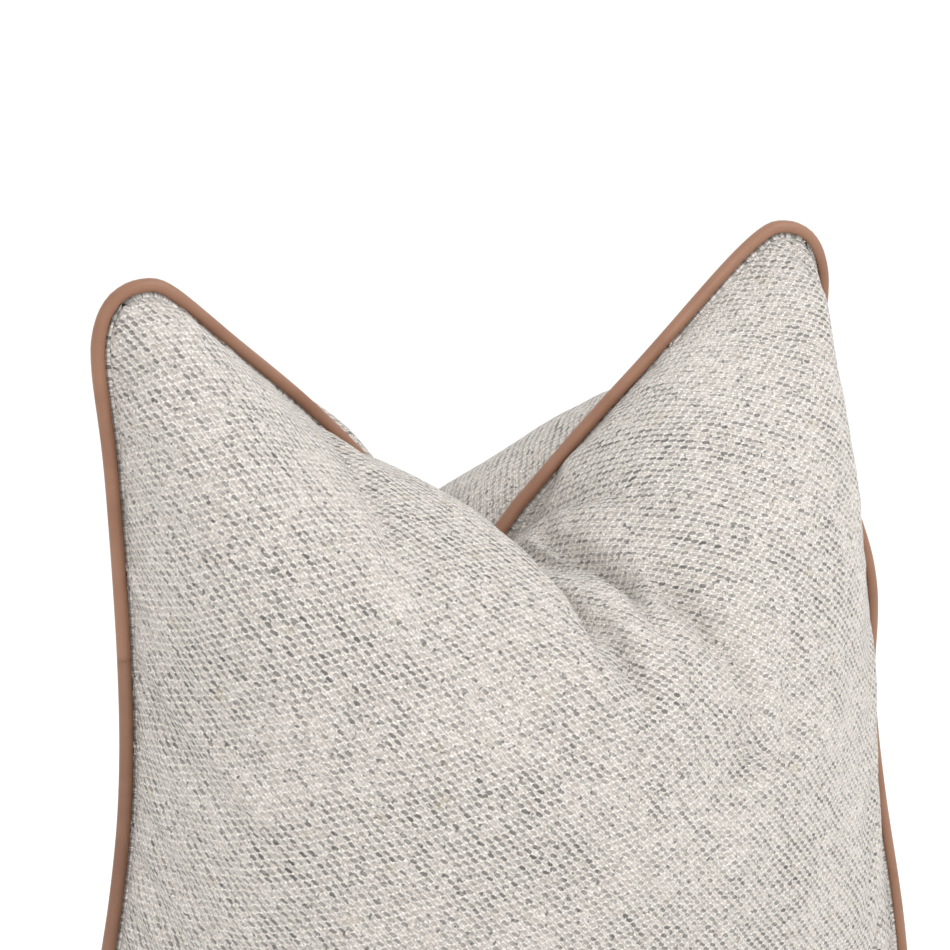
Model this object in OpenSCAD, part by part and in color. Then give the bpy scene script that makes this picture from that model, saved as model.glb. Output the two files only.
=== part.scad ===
// Square throw pillow that stands on its bottom edge, with a chopped top.
// X runs to the right, the front faces -Y and Z is up. The floor is z = 0,
// and the seam between the two cover panels lies in the plane y = 0.

/* [Cover] */
// Width across the two bottom corners of the seam
base_w = 506; // [400:1:640]
// Width of the seam at the waist
waist_w = 448; // [370:1:520]
// Distance that the waist leans to the right
waist_shift = 2; // [-30:1:30]
// Width of the seam across the two ears
ear_w = 425; // [350:1:510]
// Distance that the ears lean to the right, or to the left below zero
ear_shift = -20; // [-30:1:20]
// Height of the right ear above the left one
ear_rise = 4; // [-15:1:15]
// Height of the left ear's tip above the floor, on the seam
cover_h = 556; // [440:1:700]
// Thickness from front to back at the middle
loft = 280; // [220:1:340]
// Width from front to back of the flat that the pillow stands on
base_d = 90; // [70:1:120]
// Thickness of the cover fabric
fabric_t = 1.5; // [0.8:0.1:2.5]
// Fabric turned in at the seam
seam_allow = 8; // [5:0.5:12]

/* [Chop] */
// Depth of the chop below the ear tips
chop_depth = 167; // [60:1:200]
// Offset of the chop from the middle
chop_x = -30; // [-40:1:30]
// Share of the thickness that the diagonal crease takes away
crease_share = 0.24; // [0:0.02:0.4]
// Half width of the crease
crease_w = 46; // [30:1:70]

/* [Piping] */
// Diameter of the cord in the piping
cord_d = 6; // [4:0.1:9]
// Thickness of the leather round the cord
leather_t = 0.55; // [0.4:0.05:1.2]
// Thickness of the thinned leather in the seam
flange_t = 0.5; // [0.3:0.05:0.8]
// Height of the joint between the two leather strips
joint_z = 370; // [200:10:450]

/* [Zip] */
// Distance from each bottom corner to the end of the zip
zip_margin = 53; // [45:1:100]
// Thickness of the zip tape
tape_t = 0.5; // [0.3:0.05:0.8]
// Thickness of the teeth
teeth_t = 2.8; // [2:0.1:4]
// Distance from tooth to tooth
tooth_pitch = 4; // [3:0.5:8]
// Length of the slider
slider_l = 9; // [7:0.5:14]
// Length of the pull from its pin
pull_l = 26; // [18:1:40]
// Width of the pull
pull_w = 5; // [4:0.5:8]

/* [Insert] */
// Distance from the cover seam in to the insert seam
insert_inset = 22; // [18:1:40]
// Distance between the cover and the insert, front and back
insert_gap = 7; // [5:0.5:14]
// Thickness of the insert's cotton casing
casing_t = 0.6; // [0.3:0.1:1.2]

/* [Hidden] */

// Clearances
fit = 0.35;          // moving zip parts
lay = 0.15;          // layers that lie on each other
slit = 0.1;          // half of the slit between the two layers of the leather flange
cord_gap = 0.2;      // cord to leather
floor_gap = 0.5;     // under the piping

// Piping and seam line
pipe_r = cord_d / 2 + cord_gap + leather_t;
seam_out = pipe_r + 1;                       // seam line to the middle of the piping
pipe_z = floor_gap + pipe_r;                 // middle of the piping at the bottom
seam_z = pipe_z + seam_out;                  // seam line at the bottom
flange_half = flange_t + slit;
edge_y = flange_half + lay;                  // outer face of a panel where it meets the flange

// Zip, seen along X: everything hangs on the middle of the tape
tape_z = seam_z + tape_t / 2;
plate_t = 1;
cavity = teeth_t / 2 + fit;
post_half = 0.25;
tooth_in = post_half + fit;
tooth_l = 1;
comb_l = 0.8;
slider_half = tooth_in + tooth_l + comb_l + fit + plate_t;
slider_room = 0.6;                           // piping to slider
zip_y = pipe_r + slider_room + slider_half;
zip_half_gap = zip_y - flange_half - lay;    // middle of the zip to the face of the tape's leg
zip_back = 2 * zip_y - flange_half;          // outer face of the back panel beside the zip
zip_l = base_w - 2 * zip_margin;
stop_l = 3;
slider_x = zip_l / 2 - stop_l - slider_l / 2 - 1;
lug_h = 3.75;
lug_bar = 0.8;
lug_half_l = 2.5;
lug_half_w = 0.7;
pin_r = 0.5;
plate_low = tape_z - cavity - plate_t;
pin_z = plate_low - lug_h + lug_bar + (lug_h - lug_bar) / 2;

// Outline of the seam, clockwise from the middle of the bottom: x and z
base_half = base_w / 2;
waist_half = waist_w / 2;
ear_half = ear_w / 2;
ear_round = 20;                              // side of an ear to its highest point
tip_x = ear_half - ear_round;
straight_end = 41;                           // bottom corner to the end of the straight bottom
corner_end = 13;
vee_round = 4;
vee_power = 1.25;
vee_steps = [0.74, 0.54, 0.36, 0.19];
function vee_drop(f) = chop_depth * pow(1 - (norm([f * tip_x, vee_round]) - vee_round) / tip_x, vee_power);
function ear_knot(s, inside, down) = [
    ear_shift + s * (ear_half - inside), cover_h + (s > 0 ? ear_rise : 0) - down
];
function side_x(s, share) = mix(waist_shift + s * waist_half, s * base_half, share);
function side_knots(s) = [
    [s * (base_half - 123), seam_z],
    [s * (base_half - straight_end), seam_z],
    [s * (base_half - corner_end), seam_z + 5],
    [s * base_half, seam_z + 22],
    [s * (base_half - 3), seam_z + 67],
    [side_x(s, 0.6), 0.29 * cover_h],
    [side_x(s, 0.19), 0.43 * cover_h],
    [side_x(s, 0), 0.54 * cover_h],
    [side_x(s, 0), 0.665 * cover_h],
    ear_knot(s, 5, 91),
    ear_knot(s, -1, 38),
    ear_knot(s, 0, 18),
    ear_knot(s, 7, 5),
    ear_knot(s, ear_round, 0),
    ear_knot(s, ear_round + 14, 5),
];
function vee_knots(s) = [
    for (f = vee_steps)
        let (tip = ear_knot(s, ear_round, 0)) [mix(chop_x, tip[0], f), mix(cover_h, tip[1], f) - vee_drop(f)]
];
function reverse(list) = [for (k = [len(list) - 1:-1:0]) list[k]];
KNOTS = concat(
    [[0, seam_z]],
    side_knots(-1),
    vee_knots(-1),
    [[chop_x, cover_h - chop_depth]],
    reverse(vee_knots(1)),
    reverse(side_knots(1))
);
STEPS = 2;
function turn(list, k) = list[(k + len(list)) % len(list)];
function spline(a, b, c, d, t) = 0.5 * (2 * b + (c - a) * t + (2 * a - 5 * b + 4 * c - d) * t * t
    + (3 * b - a - 3 * c + d) * t * t * t);
SEAM = [
    for (k = [0:len(KNOTS) - 1])
        for (q = [0:STEPS - 1])
            spline(turn(KNOTS, k - 1), KNOTS[k], turn(KNOTS, k + 1), turn(KNOTS, k + 2), q / STEPS)
];
COUNT = len(SEAM);
function unit(v) = v / norm(v);
function outward(j) = let (d = turn(SEAM, j + 1) - turn(SEAM, j - 1)) unit([-d[1], d[0]]);

// Weights round the seam: the flat base, the zip and the chop
function smooth(a, b, v) = let (t = min(1, max(0, (v - a) / (b - a)))) t * t * (3 - 2 * t);
base_fade = [0.5, 26];                       // heights above the straight bottom
insert_fade = [0.35, 0.62];                  // shares of the half width
chop_half = 60;
function base_share(p) = 1 - smooth(seam_z + base_fade[0], seam_z + base_fade[1], p[1]);
function insert_share(p) = 1 - smooth(insert_fade[0] * base_half, insert_fade[1] * base_half, abs(p[0]));
function zip_share(p) = 1 - smooth(base_half - straight_end, base_half - corner_end, abs(p[0]));
function chop_share(p) = p[1] > cover_h / 2 ? exp(-pow((p[0] - chop_x) / chop_half, 2)) : 0;

// One skin of the pillow is a fan of rings from its middle out to the seam.
// A layer is [inset from the seam, thickness taken off each side, height of its base,
// [y, z] of its last base ring but one, [y, z] of its last base ring, y at the seam].
RINGS = 12;
middle = [waist_shift / 2, 0.36 * cover_h];
chop_lift = 18;                              // how far the skin bows up beside the chop
crease_run = [95, -62];                      // from the chop to the foot of the crease
side_round = 0.8;                            // power of the profile at the sides
chop_round = 0.5;                            // power of the profile below the chop
fold_share = [0.75, 0.8];                    // of the zip's width, in the two rows beside the seam
min_square = 0.35;                           // least share of an inset ray that counts as square to the seam
function ring_t(i) = 1 - pow(1 - i / RINGS, 1.5);
function mix(a, b, t) = a + (b - a) * t;
function inset_seam(j, inset) = let (
        ray = SEAM[j] - middle,
        square = max(min_square, outward(j) * unit(ray))
    ) middle + ray * (1 - inset / square / norm(ray));
function crease(side, x, z) = let (
        head = [chop_x, cover_h - chop_depth],
        run = [side * crease_run[0], crease_run[1]],
        t = min(1, max(0, ([x, z] - head) * run / (run * run)))
    ) 1 - crease_share * exp(-pow(norm([x, z] - head - run * t) / crease_w, 2));
function fold_y(side, layer, j, i) = let (
        z_share = side < 0 ? zip_share(SEAM[j]) : 0,
        extra = z_share * (zip_back - edge_y)
    ) i == RINGS ? layer[5] + (layer[0] == 0 ? extra : 0)
    : i == RINGS - 1 ? layer[4][0] + (layer[0] == 0 ? extra * fold_share[1] : 0)
    : layer[3][0] + (layer[0] == 0 ? extra * fold_share[0] : 0);
function free_point(side, layer, j, i) = let (
        s = inset_seam(j, layer[0]),
        t = ring_t(i),
        chop = chop_share(SEAM[j]),
        p = middle + (s - middle) * t + [0, chop_lift * chop * sin(180 * t * t)],
        round = pow(max(0, 1 - t * t), mix(side_round, chop_round, chop)),
        y = (loft / 2 - layer[1]) * round * crease(side, p[0], p[1])
    ) [p[0], -side * max(y, layer[5]), p[1]];
function base_point(side, layer, j, i) = let (
        s = inset_seam(j, layer[0]),
        last = RINGS - 3,
        t = min(1, ring_t(i) / ring_t(last)),
        corner = smooth(0.5 * base_half, base_half - 8, abs(SEAM[j][0])),
        half = max(mix(base_d / 2, layer[3][0], corner), fold_y(side, layer, j, RINGS - 2)) + 3 - layer[1],
        rise = layer[0] == 0 ? SEAM[j][1] - seam_z : 0,
        z = i == RINGS ? s[1] : i == RINGS - 1 ? layer[4][1] + rise : i == RINGS - 2 ? layer[3][1]
            : mix(middle[1], layer[2], t),
        y = i > last ? fold_y(side, layer, j, i)
            : mix(half, loft / 2 - layer[1], sqrt(max(0, 1 - t * t)))
    ) [mix(middle[0], s[0], t), -side * y, z];
function skin_point(side, layer, j, i) = mix(
    free_point(side, layer, j, i), base_point(side, layer, j, i),
    base_share(SEAM[j]) * (layer[0] > 0 ? insert_share(SEAM[j]) : 1));
function skin(side, layer) = [
    for (i = [0:RINGS]) [for (j = [0:COUNT - 1]) skin_point(side, layer, j, i)]
];
// The same skin moved in by a thickness, square to its surface
function inner_point(side, g, j, i, t) = let (
        across = turn(g[i], j + 1) - turn(g[i], j - 1),
        down = g[min(RINGS, i + 1)][j] - g[max(0, i - 1)][j]
    ) i == 0 ? g[0][j] + [0, side * t, 0] : g[i][j] - side * t * unit(cross(across, down));

// Triangles between rows of points that run round the seam. The rows that come back under the first
// RINGS rows are cut along the same diagonals as those, so that the two sides of a wall never cross.
function band_faces(rows, flip) = [
    for (r = [0:rows - 2])
        for (j = [0:COUNT - 1])
            let (
                a = 1 + r * COUNT + j,
                b = 1 + r * COUNT + (j + 1) % COUNT,
                c = a + COUNT,
                d = b + COUNT,
                pair = r < RINGS ? [[a, d, b], [a, c, d]] : [[a, c, b], [b, c, d]]
            ) each flip ? [for (f = pair) [f[0], f[2], f[1]]] : pair
];
function cap_faces(rows, flip) = let (last = 1 + rows * COUNT, tail = 1 + (rows - 1) * COUNT) [
    for (j = [0:COUNT - 1])
        let (k = (j + 1) % COUNT)
            each flip ? [[0, 1 + k, 1 + j], [last, tail + j, tail + k]]
                : [[0, 1 + j, 1 + k], [last, tail + k, tail + j]]
];
module shell_of_rows(first, rows, last, flip) {
    polyhedron(
        points = concat([first], [for (row = rows) each row], [last]),
        faces = concat(band_faces(len(rows), flip), cap_faces(len(rows), flip)),
        convexity = 8
    );
}

// Layers
cover_layer = [0, 0, 0, [pipe_r + 1.1, 0], [pipe_r + 0.5, pipe_z + 1.3], edge_y];
insert_low = fabric_t + 0.8;
fold_top = seam_z + seam_allow + 2.5;
fold_y_out = zip_back + fabric_t + 2;        // past the turned-in back panel
insert_layer = [insert_inset, insert_gap, insert_low, [fold_y_out + 11, insert_low + 7],
    [fold_y_out, fold_top], casing_t / 2 + 0.4];
fill_room = 8;                               // casing to filling
filling_layer = [insert_inset + 5, insert_gap + casing_t + fill_room, insert_low + casing_t + fill_room,
    [fold_y_out + 5, insert_low + 18], [fold_y_out, fold_top + 10], 0];

// A cover panel: the outer skin, the turned-in allowance and the inner skin
module cover_panel(side) {
    g = skin(side, cover_layer);
    lip = 1.8 * fabric_t;                    // seam to the inner fold of the allowance
    function edge(j, inset, t) = let (p = SEAM[j] - inset * outward(j))
        [p[0], g[RINGS][j][1] - side * t, p[1]];
    inner = [
        for (i = [RINGS - 1:-1:1]) [for (j = [0:COUNT - 1]) inner_point(side, g, j, i, fabric_t)]
    ];
    rows = concat(
        [for (i = [1:RINGS]) g[i]],
        [[for (j = [0:COUNT - 1]) edge(j, seam_allow, 0)]],
        [[for (j = [0:COUNT - 1]) edge(j, seam_allow, fabric_t)]],
        [[for (j = [0:COUNT - 1]) edge(j, lip, fabric_t)]],
        inner
    );
    shell_of_rows(g[0][0], rows, inner_point(side, g, 0, 0, fabric_t), side < 0);
}

module front_panel() color([0.80, 0.77, 0.74]) cover_panel(1);
module back_panel() color([0.78, 0.75, 0.72]) cover_panel(-1);

// Half of the insert's casing
module insert_half(side) {
    g = skin(side, insert_layer);
    inner = [
        for (i = [RINGS:-1:1]) [for (j = [0:COUNT - 1]) inner_point(side, g, j, i, casing_t)]
    ];
    shell_of_rows(g[0][0], concat([for (i = [1:RINGS]) g[i]], inner),
        inner_point(side, g, 0, 0, casing_t), side < 0);
}

module insert_front() color([0.93, 0.93, 0.90]) insert_half(1);
module insert_back() color([0.91, 0.91, 0.88]) insert_half(-1);

module insert_filling() {
    front = skin(1, filling_layer);
    back = skin(-1, filling_layer);
    rows = concat([for (i = [1:RINGS]) front[i]], [for (i = [RINGS - 1:-1:1]) back[i]]);
    color([0.96, 0.96, 0.95]) shell_of_rows(front[0][0], rows, back[0][0], false);
}

// Sweep of a section along the seam. A section point is [distance outward, y].
function swept(section, js) = [
    for (j = js)
        for (p = section)
            let (q = SEAM[j] + (seam_out + p[0]) * outward(j)) [q[0], p[1], q[1]]
];
module sweep(section, js, closed) {
    n = len(section);
    m = len(js);
    sides = [
        for (r = [0:m - (closed ? 1 : 2)])
            for (k = [0:n - 1])
                let (a = r * n + k, b = r * n + (k + 1) % n, c = (r + 1) % m * n + k,
                    d = (r + 1) % m * n + (k + 1) % n)
                    each [[a, b, d], [a, d, c]]
    ];
    ends = closed ? [] : [
        for (k = [0:n / 2 - 2])
            let (a = n - 1 - k, t = (m - 1) * n)
                each [
                    [k + 1, k, a], [k + 1, a, a - 1],
                    [t + k, t + k + 1, t + a], [t + a, t + k + 1, t + a - 1]
                ]
    ];
    polyhedron(points = swept(section, js), faces = concat(sides, ends), convexity = 8);
}

function arc(r, from, to, steps) = [
    for (k = [0:steps]) let (a = mix(from, to, k / steps)) r * [cos(a), sin(a)]
];
PIPE_SIDES = 8;
CORD = arc(cord_d / 2, 0, 360 - 360 / PIPE_SIDES, PIPE_SIDES - 1);
bore_r = cord_d / 2 + cord_gap;
flange_l = seam_out + seam_allow;
outer_a = 180 - asin(flange_half / pipe_r);
inner_a = 180 - asin(slit / bore_r);
LEATHER = concat(
    [[-flange_l, -flange_half]],
    arc(pipe_r, -outer_a, outer_a, PIPE_SIDES),
    [[-flange_l, flange_half], [-flange_l, slit]],
    arc(bore_r, inner_a, -inner_a, PIPE_SIDES),
    [[-flange_l, -slit]]
);

// The strips meet on the left side and at the right end of the zip
left_js = [for (j = [1:COUNT / 2]) if (SEAM[j][0] < 0 && SEAM[j][1] < joint_z) j];
joint_left = max(left_js);
joint_right = COUNT - STEPS * 2;
module piping_strip_upper() color([0.60, 0.45, 0.36])
    sweep(LEATHER, [for (j = [joint_left:joint_right]) j], false);
module piping_strip_lower() color([0.57, 0.42, 0.33]) sweep(LEATHER,
    [for (j = [joint_right:COUNT + joint_left]) j % COUNT], false);
module piping_cord() color([0.90, 0.88, 0.84]) sweep(CORD, [for (j = [0:COUNT - 1]) j], true);

// Zip: the tapes are L shaped, with one leg up in the seam and one under the teeth.
// s is -1 for the front half and 1 for the back half; both face the middle of the zip.
module zip_place(x) translate([x, zip_y, tape_z]) children();
module zip_tape(s) {
    leg_face = zip_half_gap;
    leg_top = seam_allow - 0.5;
    zip_place(0) union() {
        translate([-zip_l / 2, s > 0 ? tooth_in + tooth_l + comb_l : -leg_face, -tape_t / 2])
            cube([zip_l, leg_face - tooth_in - tooth_l - comb_l, tape_t]);
        translate([-zip_l / 2, s > 0 ? leg_face - tape_t : -leg_face, -tape_t / 2])
            cube([zip_l, tape_t, leg_top]);
    }
}
module zip_tape_front() color([0.72, 0.69, 0.65]) zip_tape(-1);
module zip_tape_back() color([0.72, 0.69, 0.65]) zip_tape(1);

// One row of teeth: a comb whose teeth stand opposite the gaps of the other row
teeth_l = zip_l - 2 * stop_l;
tooth_count = floor(teeth_l / tooth_pitch) - 1;
tooth_w = 0.4 * tooth_pitch;
function tooth_x(s, k) = -teeth_l / 2 + (k + (s > 0 ? 0.3 : 0.8)) * tooth_pitch;
function comb_points(s) = concat(
    [[-teeth_l / 2, s * (tooth_in + tooth_l + comb_l)], [-teeth_l / 2, s * (tooth_in + tooth_l)]],
    [
        for (k = [0:tooth_count - 1])
            let (x = tooth_x(s, k))
                each [[x, s * (tooth_in + tooth_l)], [x, s * tooth_in], [x + tooth_w, s * tooth_in],
                    [x + tooth_w, s * (tooth_in + tooth_l)]]
    ],
    [[teeth_l / 2, s * (tooth_in + tooth_l)], [teeth_l / 2, s * (tooth_in + tooth_l + comb_l)]]
);
module zip_teeth(s) zip_place(0)
    translate([0, 0, -teeth_t / 2]) linear_extrude(teeth_t) polygon(comb_points(s));
module zip_teeth_front() color([0.66, 0.63, 0.59]) zip_teeth(-1);
module zip_teeth_back() color([0.66, 0.63, 0.59]) zip_teeth(1);

// Stops: a bridge across both rows, clamped at each end of the teeth
module zip_stop(s) zip_place(s * (zip_l / 2 - stop_l / 2)) {
    half = tooth_in + tooth_l + comb_l - lay;
    translate([-stop_l / 2 + lay, -half, -teeth_t / 2]) cube([stop_l - 2 * lay, 2 * half, teeth_t]);
}
module zip_top_stop() color([0.70, 0.68, 0.62]) zip_stop(1);
module zip_bottom_stop() color([0.70, 0.68, 0.62]) zip_stop(-1);

// Slider: two plates joined by a post, lips round the teeth, and a loop for the pull
slider_nose = 3;
slider_waist = 1;
slider_post_l = 2.5;
module slider_plate(z) translate([0, 0, z]) linear_extrude(plate_t) hull() {
    translate([-slider_l / 2, -slider_half + slider_waist]) square([1, 2 * (slider_half - slider_waist)]);
    translate([slider_l / 2 - slider_nose, -slider_half]) square([slider_nose, 2 * slider_half]);
}
module zip_slider() color([0.74, 0.70, 0.60]) zip_place(slider_x) union() {
    lip_h = cavity - tape_t / 2 - fit;
    slider_plate(-cavity - plate_t);
    slider_plate(cavity);
    translate([slider_l / 2 - slider_post_l, -post_half, -cavity])
        cube([slider_post_l, 2 * post_half, 2 * cavity]);
    for (s = [-1, 1])
        for (z = [-cavity, cavity - lip_h])
            translate([-slider_l / 2 + 1, s > 0 ? slider_half - plate_t : -slider_half, z])
                cube([slider_l - 1, plate_t, lip_h]);
    for (x = [-lug_half_l, lug_half_l - lug_bar])
        translate([x, -lug_half_w, -cavity - plate_t - lug_h])
            cube([lug_bar, 2 * lug_half_w, lug_h + plate_t / 2]);
    translate([-lug_half_l, -lug_half_w, -cavity - plate_t - lug_h])
        cube([2 * lug_half_l, 2 * lug_half_w, lug_bar]);
}

// Pull: a plate with a window, whose end bar is the pin that turns in the slider's loop
pull_t = 2 * pin_r;
window_half = lug_half_w + 0.5;
window_l = lug_half_l + lug_bar + 2.6;
module zip_pull() color([0.74, 0.70, 0.60]) translate([slider_x, zip_y, pin_z]) union() {
    translate([0, pull_w / 2, 0]) rotate([90, 0, 0]) cylinder(r = pin_r, h = pull_w, $fn = 24);
    for (s = [-1, 1])
        translate([-window_l, s > 0 ? window_half : -pull_w / 2, -pin_r])
            cube([window_l, pull_w / 2 - window_half, pull_t]);
    translate([-pull_l + pull_w / 2, 0, -pin_r]) linear_extrude(pull_t) union() {
        circle(d = pull_w, $fn = 32);
        translate([0, -pull_w / 2]) square([pull_l - pull_w / 2 - window_l, pull_w]);
    }
}

// Blank care label, sewn to the turned-in edge of the back panel on the left side
label_z = 0.33 * cover_h;
label_w = 30;
label_l = 12;
label_t = 0.4;
label_inset = 4;
module care_label() color([0.95, 0.95, 0.94]) {
    j = max([for (j = [1:COUNT / 2]) if (SEAM[j][1] < label_z && SEAM[j][0] < 0) j]);
    translate([SEAM[j][0], edge_y + fabric_t + lay, SEAM[j][1]])
        rotate([0, -atan2(outward(j)[1], outward(j)[0]), 0])
            translate([-label_inset - label_l, 0, -label_w / 2])
                cube([label_l, label_t, label_w]);
}

front_panel();
back_panel();
piping_strip_upper();
piping_strip_lower();
piping_cord();
zip_tape_front();
zip_tape_back();
zip_teeth_front();
zip_teeth_back();
zip_top_stop();
zip_bottom_stop();
zip_slider();
zip_pull();
insert_front();
insert_back();
insert_filling();
care_label();
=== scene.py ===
"""The throw pillow's looks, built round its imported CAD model.

The cover is a cloth simulation: two flat panels share one seam, the seam moves from its flat square
to the chopped outline of the standing pillow, air pressure fills the cover, and a round bar presses
the chop into it. Everything else follows the simulated cover. All sizes are in metres.
"""

import math

import bmesh
import bpy
import numpy as np
from mathutils import Matrix, Vector


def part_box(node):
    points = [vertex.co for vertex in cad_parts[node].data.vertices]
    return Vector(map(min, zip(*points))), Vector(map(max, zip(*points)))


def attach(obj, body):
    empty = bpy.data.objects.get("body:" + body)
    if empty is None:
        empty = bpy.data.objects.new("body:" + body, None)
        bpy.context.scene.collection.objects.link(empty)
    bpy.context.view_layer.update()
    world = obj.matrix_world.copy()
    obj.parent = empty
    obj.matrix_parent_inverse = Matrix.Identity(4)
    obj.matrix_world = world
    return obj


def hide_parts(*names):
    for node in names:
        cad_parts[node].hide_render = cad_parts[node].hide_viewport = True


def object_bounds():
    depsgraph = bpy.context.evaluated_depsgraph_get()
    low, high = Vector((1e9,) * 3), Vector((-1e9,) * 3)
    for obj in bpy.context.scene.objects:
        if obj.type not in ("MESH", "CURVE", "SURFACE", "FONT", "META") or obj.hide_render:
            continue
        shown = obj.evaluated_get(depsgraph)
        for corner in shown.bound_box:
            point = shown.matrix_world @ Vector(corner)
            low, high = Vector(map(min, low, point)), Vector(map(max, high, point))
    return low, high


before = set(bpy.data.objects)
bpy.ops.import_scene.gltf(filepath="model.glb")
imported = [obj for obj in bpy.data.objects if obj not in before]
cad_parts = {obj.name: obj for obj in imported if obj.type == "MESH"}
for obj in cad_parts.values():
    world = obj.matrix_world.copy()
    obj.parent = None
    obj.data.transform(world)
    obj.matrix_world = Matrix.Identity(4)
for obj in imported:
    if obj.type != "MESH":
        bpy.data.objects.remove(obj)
cad_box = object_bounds()

# ---------------------------------------------------------------- sizes

# The flat cover, as cut
FLAT = 0.612
FLAT_CORNER = 0.032

# Places that come from the CAD frame
cord_low, cord_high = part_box("piping_cord")
cord_r = cord_high.y
pipe_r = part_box("piping_strip_upper")[1].y
FLOOR_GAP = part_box("piping_strip_lower")[0].z
SEAM_OUT = pipe_r + 0.001
SEAM_Z = FLOOR_GAP + pipe_r + SEAM_OUT
BASE_HALF = (cord_high.x - cord_low.x) / 2 - cord_r - SEAM_OUT
tape_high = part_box("zip_tape_back")[1]
ZIP_HALF = tape_high.x
ZIP_BACK = tape_high.y + 0.0001
loft = cad_box[1][1] - cad_box[0][1]

# The outline of the seam, as in the CAD
WAIST_HALF = 0.224
WAIST_SHIFT = 0.002
EAR_HALF = 0.2125
EAR_SHIFT = -0.020
EAR_RISE = 0.004
COVER_H = 0.556
CHOP_DEPTH = 0.167
CHOP_X = -0.030
TIP_X = EAR_HALF - 0.020
VEE_ROUND = 0.004
VEE_POWER = 1.25
VEE_STEPS = (0.74, 0.54, 0.36, 0.19)
EAR_TURN = 0.016            # the filling turns the right side's seam back by this much
LEFT_TURN = 0.036           # and the left side's seam forward
LEFT_OUT = 0.012            # and out

# Cloth
GRID = 72                   # cloth cells across the cover
FRAMES = 44
SEAM_FRAME = 26             # the seam is in place by this frame
PRESSURE = 300.0
STIFFNESS = 30.0
CLOTH_MASS = 0.02           # of one cloth point
CLOTH_T = 0.0012
BASE_HALF_D = 0.045         # half of the flat that the pillow stands on
FLOOR_LAY = 0.0006          # lowest cloth points to the floor
SEAM_LIFT = 0.0004          # the row beside the seam lies this much higher than the others
LEATHER_GAP = 0.0011        # piping to the cloth beside it
BULGE_SPARE = 0.006         # the cover may bulge this much past the CAD cover's depth


# ---------------------------------------------------------------- seam outline

def smooth(a, b, v):
    """From 0 at a to 1 at b, with a soft start and end."""
    t = np.clip((v - a) / (b - a), 0, 1)
    return t * t * (3 - 2 * t)


def spline_points(a, b, c, d, t):
    """Points on a smooth curve from b to c, whose neighbours are a and d."""
    return 0.5 * (2 * b + (c - a) * t + (2 * a - 5 * b + 4 * c - d) * t ** 2
                  + (3 * b - a - 3 * c + d) * t ** 3)


def ear_knot(side, inside, down):
    rise = EAR_RISE if side > 0 else 0
    return (EAR_SHIFT + side * (EAR_HALF - inside), COVER_H + rise - down)


def vee_drop(f):
    return CHOP_DEPTH * (1 - (math.hypot(f * TIP_X, VEE_ROUND) - VEE_ROUND) / TIP_X) ** VEE_POWER


def side_knots(side):
    waist = WAIST_SHIFT + side * WAIST_HALF
    spread = side * BASE_HALF - waist
    return [
        (side * (BASE_HALF - 0.123), SEAM_Z),
        (side * (BASE_HALF - 0.041), SEAM_Z),
        (side * (BASE_HALF - 0.013), SEAM_Z + 0.005),
        (side * BASE_HALF, SEAM_Z + 0.022),
        (side * (BASE_HALF - 0.003), SEAM_Z + 0.067),
        (waist + 0.6 * spread, 0.29 * COVER_H),
        (waist + 0.19 * spread, 0.43 * COVER_H),
        (waist, 0.54 * COVER_H),
        (waist, 0.665 * COVER_H),
        ear_knot(side, 0.005, 0.091),
        ear_knot(side, -0.001, 0.038),
        ear_knot(side, 0.0, 0.018),
        ear_knot(side, 0.007, 0.005),
        ear_knot(side, 0.020, 0.0),
        ear_knot(side, 0.034, 0.005),
    ]


def vee_knots(side):
    tip = ear_knot(side, 0.020, 0.0)
    return [
        (CHOP_X + (tip[0] - CHOP_X) * f, COVER_H + (tip[1] - COVER_H) * f - vee_drop(f))
        for f in VEE_STEPS
    ]


BASE_CORNER, EAR_CORNER = 3, 12        # places in side_knots


def seam_outline(per_knot=24):
    """The seam, anticlockwise from the front, and where its four corners are along it."""
    knots = [(0.0, SEAM_Z), *side_knots(1), *vee_knots(1), (CHOP_X, COVER_H - CHOP_DEPTH),
             *vee_knots(-1)[::-1], *side_knots(-1)[::-1]]
    p = np.array(knots)
    t = np.linspace(0, 1, per_knot, endpoint=False)[:, None]
    parts = []
    for k in range(len(p)):
        a, b, c, d = (p[(k + q) % len(p)] for q in (-1, 0, 1, 2))
        parts.append(spline_points(a, b, c, d, t))
    line = np.concatenate(parts)
    up = smooth(0.12, 0.38, line[:, 1])
    right, left = smooth(0.07, 0.16, line[:, 0]), smooth(0.10, 0.20, -line[:, 0])
    turned = (EAR_TURN * right - LEFT_TURN * left) * up
    spread = line[:, 0] - LEFT_OUT * left * up
    last = len(knots)
    corners = [last - 1 - BASE_CORNER, 1 + BASE_CORNER, 1 + EAR_CORNER, last - 1 - EAR_CORNER]
    return np.stack([spread, turned, line[:, 1]], 1), [k * per_knot for k in corners]


def stretch_of(points, start, stop):
    """The points from start to stop round a loop, and the distance along them."""
    stop = stop if stop > start else stop + len(points)
    part = points[np.arange(start, stop + 1) % len(points)]
    steps = np.linalg.norm(np.diff(part, axis=0), axis=1)
    return part, np.concatenate([[0], np.cumsum(steps)])


# ---------------------------------------------------------------- flat pattern

def flat_grid(n):
    """A grid of (n + 1) squared points on the flat cover. The outermost lie on its rounded edge."""
    t = np.linspace(-1, 1, n + 1)
    u, v = np.meshgrid(t * FLAT / 2, t * FLAT / 2, indexing="xy")
    inner = FLAT / 2 - FLAT_CORNER
    a = np.clip((abs(u) - inner) / FLAT_CORNER, 0, 1)
    b = np.clip((abs(v) - inner) / FLAT_CORNER, 0, 1)
    corner = (a > 0) & (b > 0)
    round_u = np.sign(u) * (inner + a * np.sqrt(1 - b ** 2 / 2) * FLAT_CORNER)
    round_v = np.sign(v) * (inner + b * np.sqrt(1 - a ** 2 / 2) * FLAT_CORNER)
    return np.where(corner, round_u, u), np.where(corner, round_v, v)


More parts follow.
